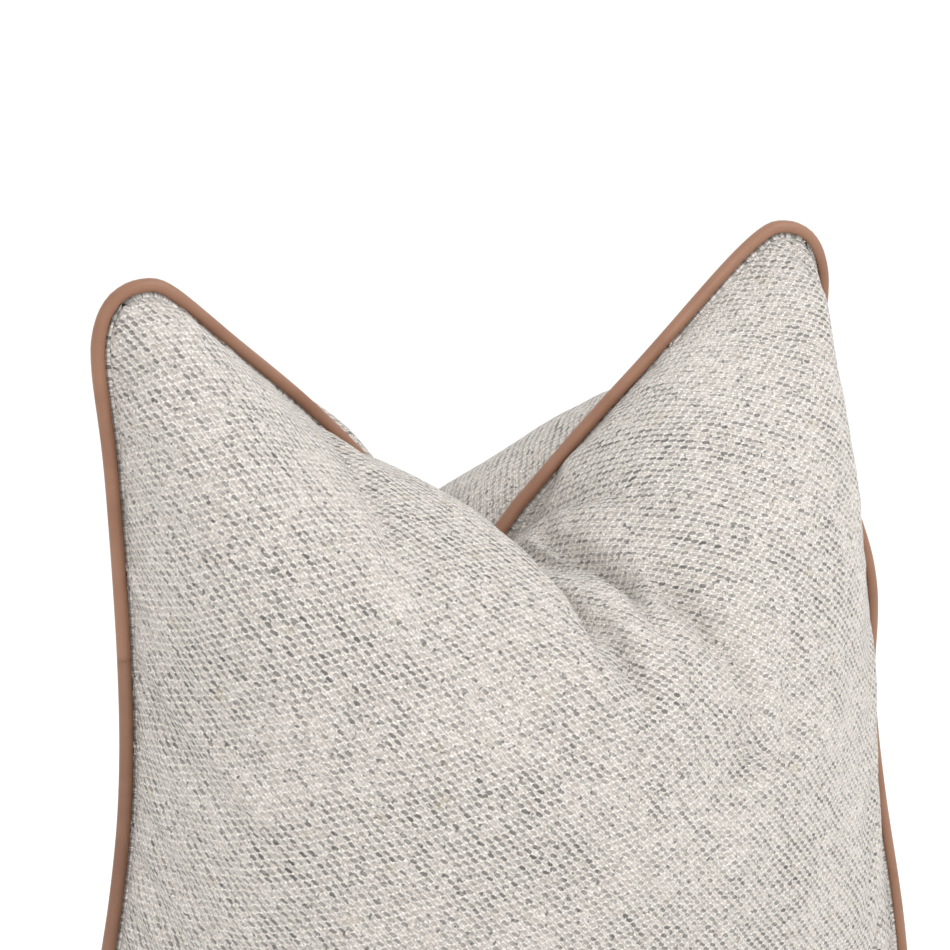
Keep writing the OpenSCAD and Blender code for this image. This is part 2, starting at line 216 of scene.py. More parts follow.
class Pattern:
    """The two flat panels as one closed net: rows go up, columns go right, and the edge is shared."""

    def __init__(self, n):
        self.n = n
        self.u, self.v = flat_grid(n)
        count = (n + 1) ** 2
        edge = np.zeros((n + 1, n + 1), bool)
        edge[0, :] = edge[-1, :] = edge[:, 0] = edge[:, -1] = True
        self.front = np.arange(count).reshape(n + 1, n + 1)
        self.back = self.front.copy()
        self.back[~edge] = count + np.arange((~edge).sum())
        self.total = count + (~edge).sum()
        k = range(n)
        bottom, right = [(0, j) for j in k], [(i, n) for i in k]
        top, left = [(n, n - j) for j in k], [(n - i, 0) for i in k]
        ring = bottom + right + top + left
        self.ring = np.array([self.front[i, j] for i, j in ring])
        self.ring_flat = np.array([(self.u[i, j], self.v[i, j]) for i, j in ring])
        self.edge = edge

    def start(self, lift, bulge):
        """Slightly swollen flat panels."""
        co = np.zeros((self.total, 3))
        h = FLAT / 2
        swell = bulge * (1 - (self.u / h) ** 2) * (1 - (self.v / h) ** 2)
        swell[self.edge] = 0
        for net, side in ((self.back, 1), (self.front, -1)):
            co[net.ravel()] = np.stack([self.u, side * swell, self.v + lift], -1).reshape(-1, 3)
        return co

    def quads(self, net, flip):
        a, b, c, d = net[:-1, :-1], net[:-1, 1:], net[1:, 1:], net[1:, :-1]
        order = (a, d, c, b) if flip else (a, b, c, d)
        return np.stack([q.ravel() for q in order], 1)


def edge_distance(u, v):
    """How far places on the flat cover are from its edge."""
    h = FLAT / 2
    return np.minimum(h - abs(u), h - abs(v))


def seam_targets(pattern):
    """Where each point of the flat edge ends up on the standing pillow's seam."""
    outline, corners = seam_outline()
    flat = pattern.ring_flat
    flat_corners = [int(np.argmax(flat @ np.array(d))) for d in ((-1, -1), (1, -1), (1, 1), (-1, 1))]
    target = np.zeros((len(flat), 3))
    for q in range(4):
        part, along = stretch_of(outline, corners[q], corners[(q + 1) % 4])
        start, stop = flat_corners[q], flat_corners[(q + 1) % 4]
        piece, run = stretch_of(flat, start, stop)
        share = run / run[-1] * along[-1]
        index = np.arange(start, start + len(piece)) % len(flat)
        target[index] = np.stack([np.interp(share, along, part[:, k]) for k in range(3)], 1)
    return target


def base_targets(pattern, co):
    """The rows beside the bottom seam lie on the floor. Gives their vertices and places."""
    rows, places = [], []
    n = pattern.n
    cell = FLAT / n
    wall = pipe_r + LEATHER_GAP
    for j in range(1, n):
        x = co[pattern.front[0, j]][0]
        flat_x = pattern.u[0, j]
        depth = BASE_HALF_D * (1 - smooth(0.12, 0.215, abs(flat_x)))
        zip_share = 1 - smooth(BASE_HALF - 0.041, BASE_HALF - 0.013, abs(x))
        if abs(x) > BASE_HALF - 0.034:
            continue
        for i in range(1, 8):
            d = i * cell
            if d > max(depth, 2.2 * cell):
                break
            front_y = wall + (d - cell)
            back_1 = wall + zip_share * (ZIP_BACK - wall)
            back_z = FLOOR_LAY + SEAM_LIFT + zip_share * (SEAM_Z - FLOOR_LAY)
            back_2 = wall + cell + zip_share * (ZIP_BACK + 0.0008 - wall - cell)
            rows.append(pattern.front[i, j])
            places.append((x, -front_y, FLOOR_LAY if i > 1 else FLOOR_LAY + SEAM_LIFT))
            rows.append(pattern.back[i, j])
            if i == 1:
                places.append((x, back_1, back_z))
            else:
                places.append((x, back_2 + (d - 2 * cell), FLOOR_LAY))
    return rows, places


# ---------------------------------------------------------------- mesh helpers

def link(obj):
    bpy.context.scene.collection.objects.link(obj)
    return obj


def new_mesh(name, points, faces, material=None):
    mesh = bpy.data.meshes.new(name)
    mesh.from_pydata([tuple(map(float, p)) for p in points], [], [tuple(map(int, f)) for f in faces])
    mesh.validate()
    mesh.update()
    mesh.polygons.foreach_set("use_smooth", [True] * len(mesh.polygons))
    if material:
        mesh.materials.append(material)
    return link(bpy.data.objects.new(name, mesh))


def apply_modifiers(obj):
    graph = bpy.context.evaluated_depsgraph_get()
    mesh = bpy.data.meshes.new_from_object(obj.evaluated_get(graph))
    obj.modifiers.clear()
    obj.data = mesh
    return obj


def vertex_array(obj):
    co = np.zeros(len(obj.data.vertices) * 3)
    obj.data.vertices.foreach_get("co", co)
    return co.reshape(-1, 3)


def set_vertices(obj, co):
    obj.data.vertices.foreach_set("co", co.astype(np.float32).ravel())
    obj.data.update()


def vertex_normals(obj):
    normals = np.zeros(len(obj.data.vertices) * 3)
    obj.data.vertex_normals.foreach_get("vector", normals)
    return normals.reshape(-1, 3)


def store_flat(obj, flat):
    """Keeps each vertex's place on the flat pattern, which the weave follows."""
    layer = obj.data.attributes.new("flat", "FLOAT_VECTOR", "POINT")
    layer.data.foreach_set("vector", flat.astype(np.float32).ravel())


def own_part(faces):
    """The vertices that some faces use, and the faces numbered among those alone."""
    used, renumbered = np.unique(faces, return_inverse=True)
    return used, renumbered.reshape(-1, 4)


def thicken(obj, thickness):
    solid = obj.modifiers.new("Thickness", "SOLIDIFY")
    solid.thickness = thickness
    solid.offset = -1
    apply_modifiers(obj)


def tube_faces(rows, around, closed):
    """Faces between rows of points that run round a tube, which may close on itself."""
    r = np.arange(rows if closed else rows - 1)[:, None]
    k = np.arange(around)[None, :]
    a, b = r * around + k, r * around + (k + 1) % around
    c, d = (r + 1) % rows * around + k, (r + 1) % rows * around + (k + 1) % around
    return np.stack([a, b, d, c], -1).reshape(-1, 4)


# ---------------------------------------------------------------- cloth

def collider(obj, thickness):
    obj.modifiers.new("Collision", "COLLISION")
    obj.collision.thickness_outer = thickness
    return obj


def chop_bar():
    """A bent round bar that lies from the back left over the seam to the front right, for the chop."""
    route = [(-0.200, 0.090, 0.345), (-0.150, 0.060, 0.366), (-0.09, 0.028, 0.389), (-0.029, 0, 0.404),
             (0.016, -0.045, 0.378), (0.064, -0.098, 0.340), (0.106, -0.150, 0.305)]
    curve = bpy.data.curves.new("chop_bar", "CURVE")
    curve.dimensions = "3D"
    spline = curve.splines.new("NURBS")
    spline.points.add(len(route) - 1)
    for point, place in zip(spline.points, route):
        point.co = (*place, 1)
    spline.use_endpoint_u = True
    spline.order_u = 4
    curve.bevel_depth = 0.013
    curve.resolution_u = 8
    curve.use_fill_caps = True
    source = link(bpy.data.objects.new("chop_curve", curve))
    graph = bpy.context.evaluated_depsgraph_get()
    mesh = bpy.data.meshes.new_from_object(source.evaluated_get(graph))
    bpy.data.objects.remove(source)
    bar = collider(link(bpy.data.objects.new("chop_bar", mesh)), 0.002)
    bar.collision.damping = 0.5
    bar.collision.cloth_friction = 2
    bar.location.z = 0.26
    bar.keyframe_insert("location", frame=4)
    bar.location.z = 0
    bar.keyframe_insert("location", frame=SEAM_FRAME)
    for curve in bar.animation_data.action.fcurves:
        for key in curve.keyframe_points:
            key.interpolation = "LINEAR"
    return bar


def add_cloth(cloth):
    """Light cloth under even pressure, without gravity."""
    modifier = cloth.modifiers.new("Cloth", "CLOTH")
    settings = modifier.settings
    settings.quality = 6
    settings.mass = CLOTH_MASS
    settings.tension_stiffness = settings.compression_stiffness = STIFFNESS
    settings.shear_stiffness = 5
    settings.bending_stiffness = 0.5
    settings.tension_damping = settings.compression_damping = settings.shear_damping = 5
    settings.bending_damping = 0.5
    settings.air_damping = 1
    settings.use_pressure = True
    settings.uniform_pressure_force = PRESSURE
    settings.vertex_group_mass = "held"
    settings.pin_stiffness = 50
    settings.effector_weights.gravity = 0
    modifier.collision_settings.use_self_collision = True
    modifier.collision_settings.self_distance_min = 0.003
    modifier.collision_settings.distance_min = 0.001
    modifier.point_cache.frame_start = 1
    modifier.point_cache.frame_end = FRAMES


def simulate_cover(pattern):
    """The cover's vertices once it is filled, chopped and standing."""
    start = pattern.start(lift=FLAT / 2, bulge=0.02)
    faces = np.concatenate([pattern.quads(pattern.front, False), pattern.quads(pattern.back, True)])
    cloth = new_mesh("cover_cloth", start, faces)
    end = start.copy()
    end[pattern.ring] = seam_targets(pattern)
    rows, places = base_targets(pattern, end)
    end[rows] = places
    held = cloth.vertex_groups.new(name="held")
    held.add([int(v) for v in (*pattern.ring, *rows)], 1.0, "REPLACE")
    cloth.shape_key_add(name="Basis")
    key = cloth.shape_key_add(name="seam")
    key.data.foreach_set("co", end.astype(np.float32).ravel())
    key.value = 0
    key.keyframe_insert("value", frame=1)
    key.value = 1
    key.keyframe_insert("value", frame=SEAM_FRAME)
    add_cloth(cloth)
    ground = [(-2, -2, -0.0015), (2, -2, -0.0015), (2, 2, -0.0015), (-2, 2, -0.0015)]
    helpers = [collider(new_mesh("cloth_ground", ground, [(0, 1, 2, 3)]), 0.001), chop_bar()]
    scene = bpy.context.scene
    scene.frame_start, scene.frame_end = 1, FRAMES
    for number in range(1, FRAMES + 1):
        scene.frame_set(number)
    apply_modifiers(cloth)
    co = vertex_array(cloth)
    scene.frame_set(1)
    for helper in (cloth, *helpers):
        bpy.data.objects.remove(helper)
    co[:, 2] = np.maximum(co[:, 2], FLOOR_LAY)
    co[:, 1] *= min(1.0, (loft / 2 + BULGE_SPARE) / abs(co[:, 1]).max())
    return co


# ---------------------------------------------------------------- material nodes

class Nodes:
    """Short ways to add the nodes of one material."""

    def __init__(self, name):
        self.material = bpy.data.materials.new(name)
        self.material.use_nodes = True
        self.tree = self.material.node_tree
        self.shader = self.tree.nodes["Principled BSDF"]

    def put(self, node, socket, value):
        if value is None:
            return
        target = node.inputs[socket]
        if isinstance(value, bpy.types.NodeSocket):
            self.tree.links.new(value, target)
        else:
            target.default_value = value

    def node(self, kind, outputs=0, **inputs):
        node = self.tree.nodes.new(kind)
        for key, value in inputs.items():
            if key.startswith("set_"):
                setattr(node, key[4:], value)
            else:
                self.put(node, int(key[1:]) if key[1:].isdigit() else key.replace("_", " "), value)
        return node.outputs[outputs]

    def math(self, operation, a, b=None, c=None):
        return self.node("ShaderNodeMath", set_operation=operation, i0=a, i1=b, i2=c)

    def add(self, a, b):
        return self.math("ADD", a, b)

    def mul(self, a, b):
        return self.math("MULTIPLY", a, b)

    def span(self, value, low, high, to_low=0.0, to_high=1.0, soft=True):
        kind = "SMOOTHSTEP" if soft else "LINEAR"
        return self.node("ShaderNodeMapRange", set_interpolation_type=kind, i0=value, i1=low, i2=high,
                         i3=to_low, i4=to_high)

    def mix(self, share, a, b):
        node = self.tree.nodes.new("ShaderNodeMix")
        node.data_type = "RGBA"
        self.put(node, 0, share)
        self.put(node, 6, a if isinstance(a, bpy.types.NodeSocket) else (*a, 1))
        self.put(node, 7, b if isinstance(b, bpy.types.NodeSocket) else (*b, 1))
        return node.outputs[2]

    def vector(self, x, y, z=0.0):
        return self.node("ShaderNodeCombineXYZ", i0=x, i1=y, i2=z)

    def split(self, vector):
        node = self.tree.nodes.new("ShaderNodeSeparateXYZ")
        self.tree.links.new(vector, node.inputs[0])
        return node.outputs[0], node.outputs[1], node.outputs[2]

    def scaled(self, vector, by):
        return self.node("ShaderNodeVectorMath", set_operation="MULTIPLY", i0=vector, i1=by)

    def noise(self, vector, scale, detail=2.0, rough=0.5):
        return self.node("ShaderNodeTexNoise", Vector=vector, Scale=scale, Detail=detail, Roughness=rough)

    def attribute(self, name):
        return self.node("ShaderNodeAttribute", outputs=1, set_attribute_name=name)

    def place(self):
        return self.node("ShaderNodeTexCoord", outputs=3)

    def bump(self, height, distance, strength=1.0, normal=None):
        return self.node("ShaderNodeBump", Strength=strength, Distance=distance, Height=height,
                         Normal=normal)

    def finish(self, colour=None, rough=None, normal=None, **fixed):
        if colour is not None:
            self.put(self.shader, "Base Color", colour if isinstance(colour, bpy.types.NodeSocket)
                     else (*colour, 1))
        self.put(self.shader, "Roughness", rough)
        self.put(self.shader, "Normal", normal)
        for key, value in fixed.items():
            self.shader.inputs[key.replace("_", " ")].default_value = value
        return self.material


FLOAT_STEP = 0.0042         # from one grey float to the next along its row
ROW_STEP = 0.0041           # from one row of floats to the next


def twill_material():
    """Thick cream yarn with grey floats in broken diagonal rows, as in a coarse slub twill."""
    m = Nodes("cover_twill")
    u, v, _ = m.split(m.attribute("flat"))
    place = m.vector(u, v)
    drift = m.add(m.noise(place, 30.0, 2.0), -0.5)
    jitter = m.add(m.noise(place, 210.0, 1.0), -0.5)
    u = m.add(u, m.add(m.mul(drift, 0.005), m.mul(jitter, 0.0012)))
    v = m.add(v, m.add(m.mul(drift, -0.003), m.mul(jitter, 0.0009)))
    # The floats lie end to end along the diagonal and step from one row to the next
    along = m.mul(m.add(m.mul(u, -0.67), m.mul(v, 0.74)), 1 / FLOAT_STEP)
    across = m.mul(m.add(m.mul(u, 0.74), m.mul(v, 0.67)), 1 / ROW_STEP)
    row = m.math("FLOOR", across)
    lag = m.node("ShaderNodeTexWhiteNoise", set_noise_dimensions="1D", W=row)
    shifted = m.add(along, m.add(m.mul(row, 0.43), m.mul(lag, 0.12)))
    cell = m.math("FLOOR", shifted)
    pick = m.node("ShaderNodeTexWhiteNoise", set_noise_dimensions="3D", Vector=m.vector(cell, row))
    fx = m.add(m.math("FRACT", shifted), -0.5)
    fy = m.add(m.math("FRACT", across), -0.5)
    skew = m.add(fy, m.mul(fx, 0.30))
    long_way = m.math("POWER", m.math("ABSOLUTE", m.mul(fx, 1.95)), 3.0)
    short_way = m.math("POWER", m.math("ABSOLUTE", m.mul(skew, 3.5)), 2.0)
    ragged = m.noise(m.vector(along, across), 3.4, 4.0, 0.75)
    edge = m.add(m.add(long_way, short_way), m.mul(m.add(ragged, -0.5), 3.0))
    float_mask = m.span(edge, 0.30, 1.20, 1.0, 0.0)
    patches = m.noise(place, 13.0, 3.0, 0.6)
    streaks = m.noise(m.vector(m.mul(along, 0.22), across), 1.3, 2.0)
    dark = m.mul(m.span(pick, 0.0, 1.0, 0.50, 1.0, False), m.span(patches, 0.32, 0.66, 0.68, 1.0))
    dark = m.mul(dark, m.span(streaks, 0.34, 0.60, 0.72, 1.0))
    grey = m.mul(float_mask, dark)
    # Lumps of yarn of about a millimetre, and fibre
    yarn = m.node("ShaderNodeTexVoronoi", set_feature="SMOOTH_F1",
                  Vector=m.vector(m.mul(along, FLOAT_STEP), m.mul(across, 0.0029)),
                  Scale=760.0, Smoothness=0.4)
    fibre = m.noise(place, 2400.0, 2.0, 0.6)
    # The cream turns darker towards each lump's edge, where the bump is lowest: painted shade between the
    # lumps
    cream = m.mix(m.span(yarn, 0.10, 0.72), (0.88, 0.83, 0.775), (0.58, 0.53, 0.48))
    cream = m.mix(m.mul(m.span(fibre, 0.35, 0.7), 0.35), cream, (0.92, 0.88, 0.83))
    colour = m.mix(m.mul(grey, 0.97), cream, (0.072, 0.068, 0.064))
    # Shadow between the rows, a few dark slubs and tan or green flecks
    groove = m.mul(m.span(m.math("ABSOLUTE", fy), 0.36, 0.50), m.span(ragged, 0.3, 0.6))
    colour = m.mix(m.mul(groove, 0.18), colour, (0.26, 0.24, 0.22))
    fleck = m.noise(place, 330.0, 0.0)
    tint = m.noise(place, 75.0, 1.0)
    colour = m.mix(m.mul(m.span(fleck, 0.71, 0.78), 0.75), colour, (0.08, 0.075, 0.07))
    colour = m.mix(m.mul(m.span(tint, 0.68, 0.76), 0.25), colour, (0.50, 0.42, 0.28))
    height = m.add(m.mul(yarn, -0.9), m.mul(grey, -0.8))
    height = m.add(m.add(height, m.mul(groove, -0.7)), m.mul(fibre, 0.25))
    normal = m.bump(height, 0.0009, 1.0)
    return m.finish(colour, 0.92, normal, Sheen_Weight=0.2, Sheen_Roughness=0.6,
                    Specular_IOR_Level=0.2)


def leather_material(name, shade_scale):
    """Leather with pores, whose wrinkles run round the piping. A second argument under 1 darkens all its
    colours as painted shade.
    """
    m = Nodes(name)
    where = m.place()
    x, y, _ = m.split(m.attribute("along"))
    cloud = m.noise(where, 28.0, 3.0)
    pores = m.node("ShaderNodeTexVoronoi", set_feature="DISTANCE_TO_EDGE", Vector=where, Scale=1500.0)
    wrinkle = m.noise(m.vector(x, m.mul(y, 0.25)), 700.0, 3.0, 0.6)
    base = tuple(c * shade_scale for c in (0.290, 0.143, 0.082))
    warm = tuple(c * shade_scale for c in (0.235, 0.106, 0.058))
    colour = m.mix(m.span(cloud, 0.35, 0.7), base, warm)
    colour = m.mix(m.mul(m.span(pores, 0.0, 0.09, 1.0, 0.0), 0.35), colour, tuple(c * 0.55 for c in base))
    rough = m.span(cloud, 0.3, 0.7, 0.40, 0.52)
    height = m.add(m.mul(m.span(pores, 0.0, 0.12), 0.6), m.mul(wrinkle, 0.8))
    return m.finish(colour, rough, m.bump(height, 0.00012, 0.7), Coat_Weight=0.12, Coat_Roughness=0.35,
                    Specular_IOR_Level=0.45)


def woven_material(name, colour, pitch=0.0007, rough=0.9):
    """A fine plain weave for tape, casing and label."""
    m = Nodes(name)
    x, y, z = m.split(m.place())
    warp = m.math("SINE", m.mul(m.add(x, m.mul(y, 0.3)), 2 * math.pi / pitch))
    weft = m.math("SINE", m.mul(m.add(z, y), 2 * math.pi / pitch))
    weave = m.mul(warp, weft)
    cloud = m.noise(m.place(), 40.0, 3.0)
    dark = tuple(c * 0.72 for c in colour)
    # Darker where the threads dip and lighter where they rise: painted shade in the weave
    shade = m.mix(m.span(weave, -1.0, 1.0), dark, colour)
    shade = m.mix(m.mul(m.span(cloud, 0.3, 0.7), 0.25), shade, dark)
    return m.finish(shade, rough, m.bump(weave, 0.0002, 0.6), Sheen_Weight=0.15)


def metal_material():
    m = Nodes("zip_metal")
    scratch = m.noise(m.scaled(m.place(), (1.0, 6.0, 6.0)), 900.0, 3.0, 0.65)
    cloud = m.noise(m.place(), 260.0, 2.0)
    colour = m.mix(m.span(cloud, 0.35, 0.65), (0.60, 0.49, 0.33), (0.52, 0.42, 0.29))
    rough = m.span(scratch, 0.3, 0.7, 0.28, 0.42)
    return m.finish(colour, rough, m.bump(scratch, 0.00005, 0.4), Metallic=1.0)


def plastic_material():
    m = Nodes("zip_plastic")
    grain = m.noise(m.place(), 1400.0, 2.0)
    colour = m.mix(m.span(grain, 0.3, 0.7), (0.50, 0.46, 0.41), (0.44, 0.40, 0.36))
    return m.finish(colour, 0.42, m.bump(grain, 0.00004, 0.4))


def filling_material():
    m = Nodes("filling_fibre")
    tuft = m.noise(m.place(), 120.0, 5.0, 0.7)
    fibre = m.noise(m.scaled(m.place(), (1.0, 1.0, 4.0)), 900.0, 3.0, 0.7)
    colour = m.mix(m.span(tuft, 0.3, 0.7), (0.86, 0.85, 0.82), (0.72, 0.71, 0.68))
    return m.finish(colour, 0.95, m.bump(m.add(tuft, m.mul(fibre, 0.4)), 0.002, 0.8))


# ---------------------------------------------------------------- panels

def panel(name, pattern, net, flip, co, material, zip_gap):
    """One cover panel as its own mesh, one subdivision finer than the cloth and with a thickness."""
    faces = pattern.quads(net, flip)
    if zip_gap:
        x = co[pattern.front[0]][:, 0]
        middle = (x[:-1] + x[1:]) / 2
        shut = np.ones(len(faces), bool)
        shut[:pattern.n] = abs(middle) > ZIP_HALF + 0.002
        faces = faces[shut]
    used, faces = own_part(faces)
    lookup = np.zeros((pattern.total, 3))
    lookup[net.ravel()] = np.stack([pattern.u, pattern.v, 0 * pattern.u], -1).reshape(-1, 3)
    obj = new_mesh(name, co[used], faces, material)
    store_flat(obj, lookup[used])
    finer = obj.modifiers.new("Finer", "SUBSURF")
    finer.levels = finer.render_levels = 1
    finer.boundary_smooth = "ALL"
    apply_modifiers(obj)
    rumple(obj)
    fold_edge(obj, -1 if net is pattern.front else 1)
    thicken(obj, CLOTH_T)
    return obj


# The cloth rolls in at the seam: [out from the seam, away from the leather] of each row of the fold
FOLD = [(-0.0010, 0.0030), (0.0004, 0.0026), (0.0010, 0.0018), (0.0004, 0.0010), (-0.0070, 0.0008)]


def fold_edge(obj, side):
    """Turns the panel's edge in over the leather, in several rows."""
    bm = bmesh.new()
    bm.from_mesh(obj.data)
    layer = bm.verts.layers.float_vector["flat"]
    edges = [e for e in bm.edges if e.is_boundary]
    starts = {v for e in edges for v in e.verts}
    places = {v: v.co.copy() for v in starts}
    outs = {}
    for v in starts:
        ring = [e.other_vert(v).co for e in v.link_edges if e.is_boundary]
        run = (ring[0] - ring[1]).normalized()
        out = run.cross(Vector((0, 1, 0))).normalized()
        inner = sum((e.other_vert(v).co - v.co for e in v.link_edges if not e.is_boundary), Vector())
        outs[v] = out if out.dot(inner) < 0 else -out
    rows = [{v: v for v in starts}]
    for _ in FOLD[1:]:
        last = rows[-1]
        rows.append({})
        for v in starts:
            rows[-1][v] = bm.verts.new(places[v])
            rows[-1][v][layer] = v[layer]
        for e in edges:
            a, b = e.verts
            loop = e.link_loops[0]
            if loop.vert is not a:
                a, b = b, a
            face = bm.faces.new((last[b], last[a], rows[-1][a], rows[-1][b]))
            face.smooth = True
    for row, (out, away) in zip(rows, FOLD):
        for v, new in row.items():
            new.co = places[v] + outs[v] * out + Vector((0, side * away, 0))
    bm.to_mesh(obj.data)
    bm.free()


def flat_of(obj):
    flat = np.zeros(len(obj.data.vertices) * 3)
    obj.data.attributes["flat"].data.foreach_get("vector", flat)
    return flat.reshape(-1, 3)


def rumple(obj):
    """Slow unevenness from the filling and small puckers beside the seam."""
    co, normals, flat = vertex_array(obj), vertex_normals(obj), flat_of(obj)
    u, v = flat[:, 0], flat[:, 1]
    edge = edge_distance(u, v)
    run = np.where(FLAT / 2 - abs(u) < FLAT / 2 - abs(v), v, u)
    inner = smooth(0.02, 0.08, edge)
    slow = (np.sin(61 * u + 23 * v + 1.0) * np.sin(47 * v - 31 * u + 0.4)
            + 0.6 * np.sin(97 * u - 55 * v + 2.2) * np.sin(88 * v + 17 * u))
    pucker = np.sin(run / 0.0062 + 1.7 * np.sin(run / 0.031)) * (0.6 + 0.4 * np.sin(run / 0.053))
    near = smooth(0.0, 0.004, edge) * (1 - smooth(0.008, 0.030, edge))
    on_floor = smooth(0.002, 0.012, co[:, 2])
    move = on_floor * (0.0009 * inner * slow + 0.0006 * near * pucker)
    set_vertices(obj, co + normals * move[:, None])


# ---------------------------------------------------------------- piping

def out_ways(line):
    """For each point of the seam, the direction out of the cover."""
    tangent = np.roll(line, -1, 0) - np.roll(line, 1, 0)
    tangent /= np.linalg.norm(tangent, axis=1)[:, None]
    out = np.cross((0.0, 1.0, 0.0), tangent)
    for _ in range(3):
        out = (np.roll(out, 1, 0) + 2 * out + np.roll(out, -1, 0)) / 4
    out /= np.linalg.norm(out, axis=1)[:, None]
    return out


def fine_ring(line, times):
    """The seam line with several points for each one given, on a smooth curve."""
    t = np.linspace(0, 1, times, endpoint=False)[None, :, None]
    a, b, c, d = (np.roll(line, -q, 0)[:, None, :] for q in (-1, 0, 1, 2))
    return spline_points(a, b, c, d, t).reshape(-1, 3)


def swept_mesh(name, section, line, out, material):
    """A section of [distance out, y] points swept along a line. Stores the distance along it."""
    n, m = len(section), len(line)
    points = line[:, None, :] + section[None, :, :1] * out[:, None, :]
    points[:, :, 1] += section[None, :, 1]
    faces = tube_faces(m, n, False).tolist()
    top = (m - 1) * n
    faces += [[q + 1, q, n - 1 - q, n - 2 - q] for q in range(n // 2 - 1)]
    faces += [[top + q, top + q + 1, top + n - 2 - q, top + n - 1 - q] for q in range(n // 2 - 1)]
    obj = new_mesh(name, points.reshape(-1, 3), faces, material)
    steps = np.linalg.norm(np.diff(line, axis=0), axis=1)
    run = np.concatenate([[0], np.cumsum(steps)])
    store = np.zeros((m, n, 3))
    store[:, :, 0] = run[:, None]
    store[:, :, 1] = np.arange(n)[None, :] / n * 2 * math.pi * pipe_r
    layer = obj.data.attributes.new("along", "FLOAT_VECTOR", "POINT")
    layer.data.foreach_set("vector", store.astype(np.float32).ravel())
    return obj


PIPE_OUT = 0.0041           # seam line to the middle of the piping, pressed up by the cloth
CORD_LAY = 0.022            # length of one turn of the cord's strands
STRANDS = 3
STRAND_SIDES = 8


def leather_section():
    """The leather goes round the cord, and its two edges lie together in the seam."""
    flange, slit = 0.0006, 0.0001
    allow = 0.008
    bore = cord_r + 0.00005
    a = math.pi - math.asin(flange / pipe_r)
    b = math.pi - math.asin(slit / bore)
    t = np.linspace(-1, 1, 19)
    outer = [(pipe_r * math.cos(a * k), pipe_r * math.sin(a * k)) for k in t]
    inner = [(bore * math.cos(-b * k), bore * math.sin(-b * k)) for k in t]
    loop = [(-PIPE_OUT - allow, -flange), *outer, (-PIPE_OUT - allow, flange),
            (-PIPE_OUT - allow, slit), *inner, (-PIPE_OUT - allow, -slit)]
    return np.array(loop) + (PIPE_OUT, 0)


def leather_strips(ring, materials):
    """Two strips that meet on the left side and at one end of the zip."""
    line = fine_ring(ring, 2)
    out = out_ways(line)
    joint_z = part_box("piping_strip_lower")[1].z
    left = np.argmin(abs(line[:, 2] - joint_z) + 9 * (line[:, 0] > 0))
    right = np.argmin(abs(line[:, 0] - ZIP_HALF - 0.02) + 9 * (line[:, 2] > 0.05))
    section = leather_section()
    strips = []
    for name, start, stop, material in (("leather_piping_lower", left, right, materials[1]),
                                        ("leather_piping_upper", right, left, materials[0])):
        count = (stop - start) % len(line)
        index = (start + np.arange(count + 1)) % len(line)
        strips.append(swept_mesh(name, section, line[index], out[index], material))
    return strips


def twisted_cord(ring, material):
    """The cord in the piping: three strands laid together."""
    line = fine_ring(ring, 4)
    out = out_ways(line)
    steps = np.linalg.norm(np.roll(line, -1, 0) - line, axis=1)
    run = np.concatenate([[0], np.cumsum(steps)[:-1]])
    turns = round(steps.sum() / CORD_LAY)
    strand_r = cord_r * 0.46
    lay_r = cord_r - strand_r
    angle = 2 * math.pi * turns * run / steps.sum()
    around = np.linspace(0, 2 * math.pi, STRAND_SIDES, endpoint=False)
    strand_faces = tube_faces(len(line), STRAND_SIDES, True)
    ring_points, ring_faces = [], []
    for s in range(STRANDS):
        phase = angle + s * 2 * math.pi / STRANDS
        middle = line + out * (PIPE_OUT + lay_r * np.cos(phase))[:, None]
        middle[:, 1] += lay_r * np.sin(phase)
        points = (middle[:, None, :] + strand_r * np.cos(around)[None, :, None] * out[:, None, :])
        points[:, :, 1] += strand_r * np.sin(around)[None, :]
        ring_faces.append(strand_faces + s * len(line) * STRAND_SIDES)
        ring_points.append(points.reshape(-1, 3))
    return new_mesh("twisted_cord", np.concatenate(ring_points), np.concatenate(ring_faces), material)


# ---------------------------------------------------------------- insert

# Each layer's depth under the cover, and how far it keeps from the seam
CASING_DEPTH, CASING_INSET = 0.004, 0.018
FILLING_DEPTH, FILLING_INSET = 0.010, 0.026
CASING_T = 0.0005
CASING_PART = 0.0006        # between the two casings' edges


def draw_in(obj, edge, depth, inset):
    """The vertices of a layer moved in by a depth, and towards the middle beside the seam."""
    local, normals = vertex_array(obj), vertex_normals(obj)
    towards = np.array([WAIST_SHIFT / 2, 0, 0.36 * COVER_H]) - local
    towards[:, 1] = 0
    towards /= np.maximum(np.linalg.norm(towards, axis=1), 1e-6)[:, None]
    pull = inset * (1 - smooth(0.0, 0.12, edge))
    sink = depth * smooth(0.0, 0.02, edge)
    moved = local - normals * sink[:, None] + towards * pull[:, None]
    moved[:, 2] = np.maximum(moved[:, 2], 0.003 + depth * 0.3)
    return moved


def inner_skin(name, pattern, net, flip, co, depth, inset, material, thickness):
    """A layer inside the cover: the simulated panel moved in by a depth and drawn back from the seam."""
    used, faces = own_part(pattern.quads(net, flip))
    obj = new_mesh(name, co[used], faces, material)
    u = np.zeros(pattern.total)
    v = np.zeros(pattern.total)
    u[net.ravel()], v[net.ravel()] = pattern.u.ravel(), pattern.v.ravel()
    set_vertices(obj, draw_in(obj, edge_distance(u[used], v[used]), depth, inset))
    thicken(obj, thickness)
    return obj


def filling_body(pattern, co, depth, inset):
    """The loose fibre as one closed body, well inside the casing."""
    faces = np.concatenate([pattern.quads(pattern.front, False), pattern.quads(pattern.back, True)])
    obj = new_mesh("insert_filling_body", co, faces, filling_material())
    edge = np.zeros(pattern.total)
    for net in (pattern.front, pattern.back):
        edge[net.ravel()] = edge_distance(pattern.u, pattern.v).ravel()
    set_vertices(obj, draw_in(obj, edge, depth, inset))
    return obj


# ---------------------------------------------------------------- put together

pattern = Pattern(GRID)
cover = simulate_cover(pattern)
ring = cover[pattern.ring]

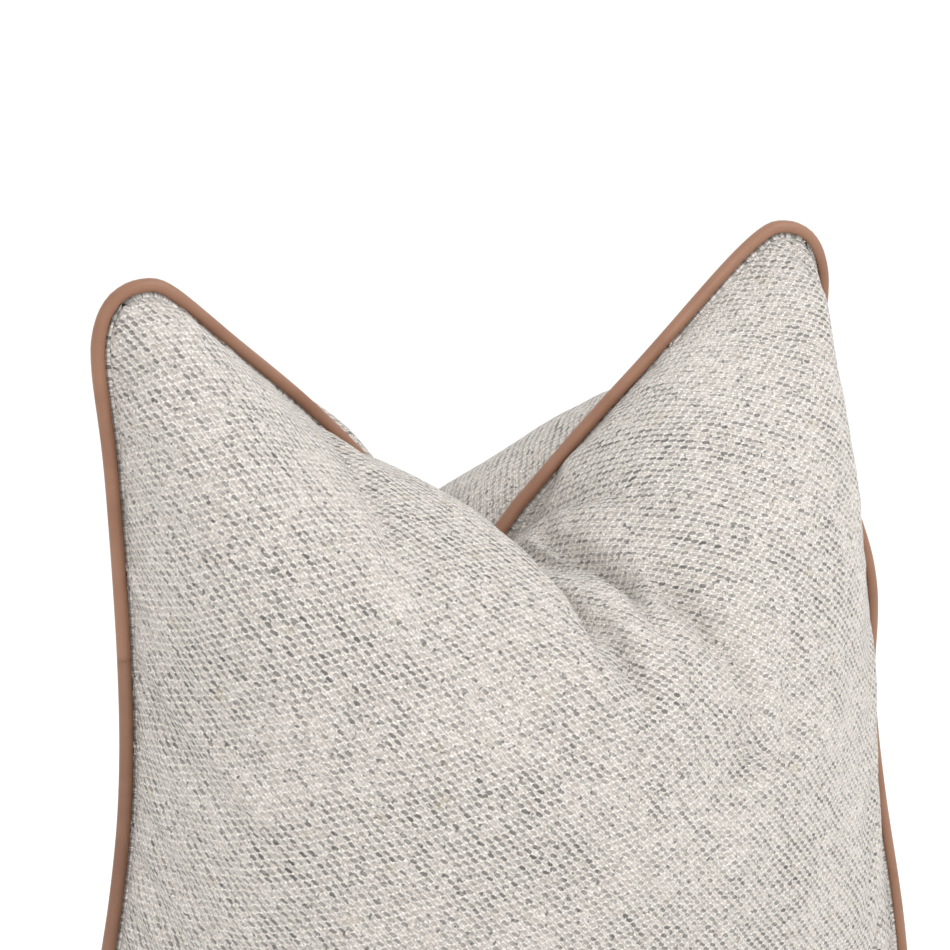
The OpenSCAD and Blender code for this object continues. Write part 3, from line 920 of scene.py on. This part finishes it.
twill = twill_material()
leather_upper = leather_material("piping_leather_upper", 1.0)
# The lower strip is the same leather painted darker: painted shade along the bottom, by the floor
leather_lower_shaded = leather_material("piping_leather_lower_shaded", 0.86)
casing = woven_material("casing_cotton", (0.84, 0.83, 0.80), 0.0009)
tape = woven_material("zip_tape_weave", (0.46, 0.42, 0.38), 0.0008)
label = woven_material("label_satin", (0.88, 0.88, 0.86), 0.0005, 0.55)
cord_cotton = woven_material("cord_cotton", (0.78, 0.75, 0.69), 0.0012)

front = panel("cover_front", pattern, pattern.front, False, cover, twill, False)
back = panel("cover_back", pattern, pattern.back, True, cover, twill, True)
strip_lower, strip_upper = leather_strips(ring, (leather_upper, leather_lower_shaded))
cord = twisted_cord(ring, cord_cotton)
insert_front = inner_skin("insert_front_casing", pattern, pattern.front, False, cover, CASING_DEPTH,
                          CASING_INSET, casing, CASING_T)
insert_back = inner_skin("insert_back_casing", pattern, pattern.back, True, cover, CASING_DEPTH,
                         CASING_INSET, casing, CASING_T)
insert_back.data.transform(Matrix.Translation((0, CASING_PART, 0)))
filling = filling_body(pattern, cover, FILLING_DEPTH, FILLING_INSET)

PIECES = [
    (front, "cover_fabric", ["front_panel"]),
    (back, "cover_fabric", ["back_panel"]),
    (strip_upper, "piping_leather", ["piping_strip_upper"]),
    (strip_lower, "piping_leather", ["piping_strip_lower"]),
    (cord, "cotton_cord", ["piping_cord"]),
    (insert_front, "casing_cotton", ["insert_front"]),
    (insert_back, "casing_cotton", ["insert_back"]),
    (filling, "filling", ["insert_filling"]),
]
for piece, slot_name, nodes in PIECES:
    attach(piece, "pillow")
    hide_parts(*nodes)

NODE_MATERIALS = [
    (tape, ("zip_tape_front", "zip_tape_back")),
    (plastic_material(), ("zip_teeth_front", "zip_teeth_back")),
    (metal_material(), ("zip_slider", "zip_pull", "zip_top_stop", "zip_bottom_stop")),
    (label, ("care_label",)),
]
for material, names in NODE_MATERIALS:
    for name in names:
        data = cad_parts[name].data
        data.materials.clear()
        data.materials.append(material)

# ---------------------------------------------------------------- stage

AZIMUTH, ELEVATION = math.radians(-26), math.radians(10)
DISTANCE = 2.3
VIEW_W = 0.4864                     # width of the view at the pillow
EAR_TIP = Vector((EAR_SHIFT - TIP_X, 0, COVER_H))
EAR_LEFT, EAR_UP = 0.1700, 0.0973   # the left ear's tip from the middle of the view
SENSOR = 36                         # the camera sensor's width, in millimetres
FLOOR_HALF = 40
WORLD_LIGHT = 1.12
LAMPS = [                           # name, place, size, power
    ("key", (1.2, -1.6, 2.2), 1.6, 30),
    ("fill", (-2.2, -1.4, 1.2), 2.0, 8),
]


def studio():
    h = FLOOR_HALF
    floor = new_mesh("floor", [(-h, -h, 0), (h, -h, 0), (h, h, 0), (-h, h, 0)], [(0, 1, 2, 3)])
    m = Nodes("floor_paint")
    cloud = m.noise(m.place(), 1.5, 2.0)
    floor.data.materials.append(m.finish(m.mix(cloud, (0.94, 0.94, 0.94), (0.92, 0.92, 0.92)), 0.9))
    world = bpy.data.worlds.new("studio")
    world.use_nodes = True
    bpy.context.scene.view_settings.view_transform = "Standard"
    background = world.node_tree.nodes["Background"]
    background.inputs[0].default_value = (1.0, 1.0, 1.0, 1)
    background.inputs[1].default_value = WORLD_LIGHT
    bpy.context.scene.world = world
    for name, place, size, power in LAMPS:
        lamp = bpy.data.lights.new(name, "AREA")
        lamp.energy = power
        lamp.size = size
        obj = link(bpy.data.objects.new(name, lamp))
        obj.location = place
        aim = Vector((0, 0, 0.35)) - obj.location
        obj.rotation_euler = aim.to_track_quat("-Z", "Y").to_euler()


def camera():
    back_way = Vector((math.sin(AZIMUTH) * math.cos(ELEVATION), -math.cos(AZIMUTH) * math.cos(ELEVATION),
                       math.sin(ELEVATION)))
    right = Vector((math.cos(AZIMUTH), math.sin(AZIMUTH), 0))
    up = right.cross(-back_way)
    aim = EAR_TIP + right * EAR_LEFT - up * EAR_UP
    data = bpy.data.cameras.new("camera")
    data.sensor_width = SENSOR
    data.lens = SENSOR * DISTANCE / VIEW_W
    obj = link(bpy.data.objects.new("camera", data))
    obj.location = aim + back_way * DISTANCE
    obj.rotation_euler = (-back_way).to_track_quat("-Z", "Y").to_euler()
    bpy.context.scene.camera = obj


studio()
camera()
